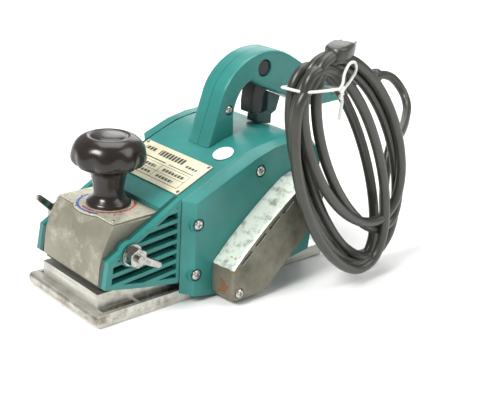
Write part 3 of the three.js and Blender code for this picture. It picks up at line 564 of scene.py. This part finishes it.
def mains_plug():
    """Flat moulded plug with a sleeve where the cord enters and two flat pins, turned from the camera."""
    c, s = math.cos(0.5), math.sin(0.5)

    def local(x, y, z):
        return at(102 + x * c - y * s, 44 + x * s + y * c, 190.6 + z)

    sections = []
    for y, w, h in ((-0.4, 4.9, 4.8), (2, 5.8, 5), (4, 7.6, 5.4), (7, 8.9, 5.8), (16, 9.4, 6), (23.6, 9.2, 5.8),
                    (26, 8.4, 5.1)):
        ring = []
        for k in range(32):
            a, b = math.cos(2 * math.pi * k / 32), math.sin(2 * math.pi * k / 32)
            ring.append(local(w * math.copysign(abs(a) ** 0.5, a), y, h * math.copysign(abs(b) ** 0.5, b)))
        sections.append(ring)
    verts, faces = rings(sections)
    body = mesh_object("plug_body", verts, faces, CORD, "rubber", "housing")
    pins = []
    for i, x in enumerate((-6.4, 4.8)):
        profile = [(25.6, -3), (40.4, -3), (42, -1.6), (42, 1.6), (40.4, 3), (25.6, 3)]
        verts, faces = rings([[local(x + dx, y, z) for y, z in profile] for dx in (0, 1.6)])
        pins.append(mesh_object(f"plug_pin_{i + 1}", verts, faces, STEEL, "bright_steel", "housing"))
    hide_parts("plug")
    return [body] + pins


def wire_tie():
    """White wire once round the strands, twisted, with a loop and a short tail."""
    centre_y, centre_z = 34.2, 166
    band = []
    for k in range(40):
        t = 2 * math.pi * k / 40
        c, s = math.cos(t), math.sin(t)
        x = 92.6 + 16.4 * math.copysign(abs(c) ** 0.45, c)
        y = centre_y + 19.2 * math.copysign(abs(s) ** 0.7, s)
        band.append(at(x, y, centre_z - 1.2 * s + 2.2 * c))
    tie = tube("tie_band", band, WIRE_RADIUS, TIE, "white_paper", "housing", sides=10, cyclic=True)
    loop = spline([at(*p) for p in ((107, 46, 166), (109, 47.6, 171), (108.6, 49, 178), (107.4, 55, 184.4),
                                    (106.4, 61.5, 184), (106.4, 63.4, 178.6), (107.4, 58, 172.6), (108.6, 51, 168),
                                    (109.4, 46.6, 164.6))], 0.002)
    tail = spline([at(*p) for p in ((109.2, 48.6, 167), (109.6, 47, 163), (109, 48.8, 158), (108.8, 48, 150),
                                    (108.4, 48.6, 145))], 0.002)
    twist = []
    for k in range(26):
        t = k / 25
        a = 4 * math.pi * t
        twist.append(at(108.6 + 0.9 * math.cos(a), 47.8 + 0.9 * math.sin(a), 169 - 9 * t))
    parts = [tube("tie_loop", loop, WIRE_RADIUS, TIE, "white_paper", "housing", sides=10),
             tube("tie_tail", tail, 0.0012, TIE, "white_paper", "housing", sides=10),
             tube("tie_twist", twist, 0.0012, TIE, "white_paper", "housing", sides=10)]
    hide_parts("cord_tie")
    return [tie] + parts


cord, cord_path, cord_length = mains_cord()
plug_parts = mains_plug()
tie_parts = wire_tie()
print("cord length", round(cord_length, 3))


# ---- floor, light and camera --------------------------------------------------------------
def studio():
    bpy.context.scene.view_settings.view_transform = "Standard"
    bpy.ops.mesh.primitive_plane_add(size=30, location=(0, 0, -0.0004))
    floor = bpy.context.object
    floor.name = "floor"
    m = Mat("pale_floor", (0.9, 0.9, 0.89), 0.75)
    m.color(m.ramp(m.noise(3, 2), [(0.3, (0.88, 0.88, 0.87)), (0.7, (0.92, 0.92, 0.91))]))
    floor.data.materials.append(m.m)
    world = bpy.data.worlds.new("studio")
    bpy.context.scene.world = world
    world.use_nodes = True
    world.node_tree.nodes["Background"].inputs[0].default_value = (1, 0.995, 0.98, 1)
    world.node_tree.nodes["Background"].inputs[1].default_value = 0.36
    sun = bpy.data.lights.new("sun", "SUN")
    sun.energy = 3.0
    sun.angle = math.radians(24)
    lights = [(sun, (0.05, -0.75, 0.8))]
    for name, place, size, power in (("fill", (0.9, 0.6, 1.0), 0.9, 8), ("top", (-0.3, 0.2, 1.5), 1.0, 12),
                                     ("back", (-1.2, 1.2, 0.85), 1.0, 6)):
        light = bpy.data.lights.new(name, "AREA")
        light.energy = power
        light.size = size
        lights.append((light, place))
    for light, place in lights:
        obj = bpy.data.objects.new(light.name, light)
        obj.location = place
        obj.rotation_euler = (Vector((0, 0, 0.06)) - Vector(place)).to_track_quat("-Z", "Y").to_euler()
        obj.visible_camera = False
        bpy.context.scene.collection.objects.link(obj)


def photo_camera():
    az, el, roll = math.radians(46.409), math.radians(21.486), 0.063
    right = Vector((math.cos(az), math.sin(az), 0))
    back = Vector((math.sin(az) * math.cos(el), -math.cos(az) * math.cos(el), math.sin(el)))
    up = back.cross(right)
    across = right * math.cos(roll) + up * math.sin(roll)
    above = up * math.cos(roll) - right * math.sin(roll)
    turn = Matrix((across, above, back)).transposed().to_4x4()
    data = bpy.data.cameras.new("camera")
    data.lens = 70.44
    data.sensor_width = 36
    obj = bpy.data.objects.new("camera", data)
    obj.matrix_world = Matrix.Translation(at(552.4, -456.2, 338.0)) @ turn
    bpy.context.scene.collection.objects.link(obj)
    bpy.context.scene.camera = obj


studio()
photo_camera()
bpy.context.view_layer.update()
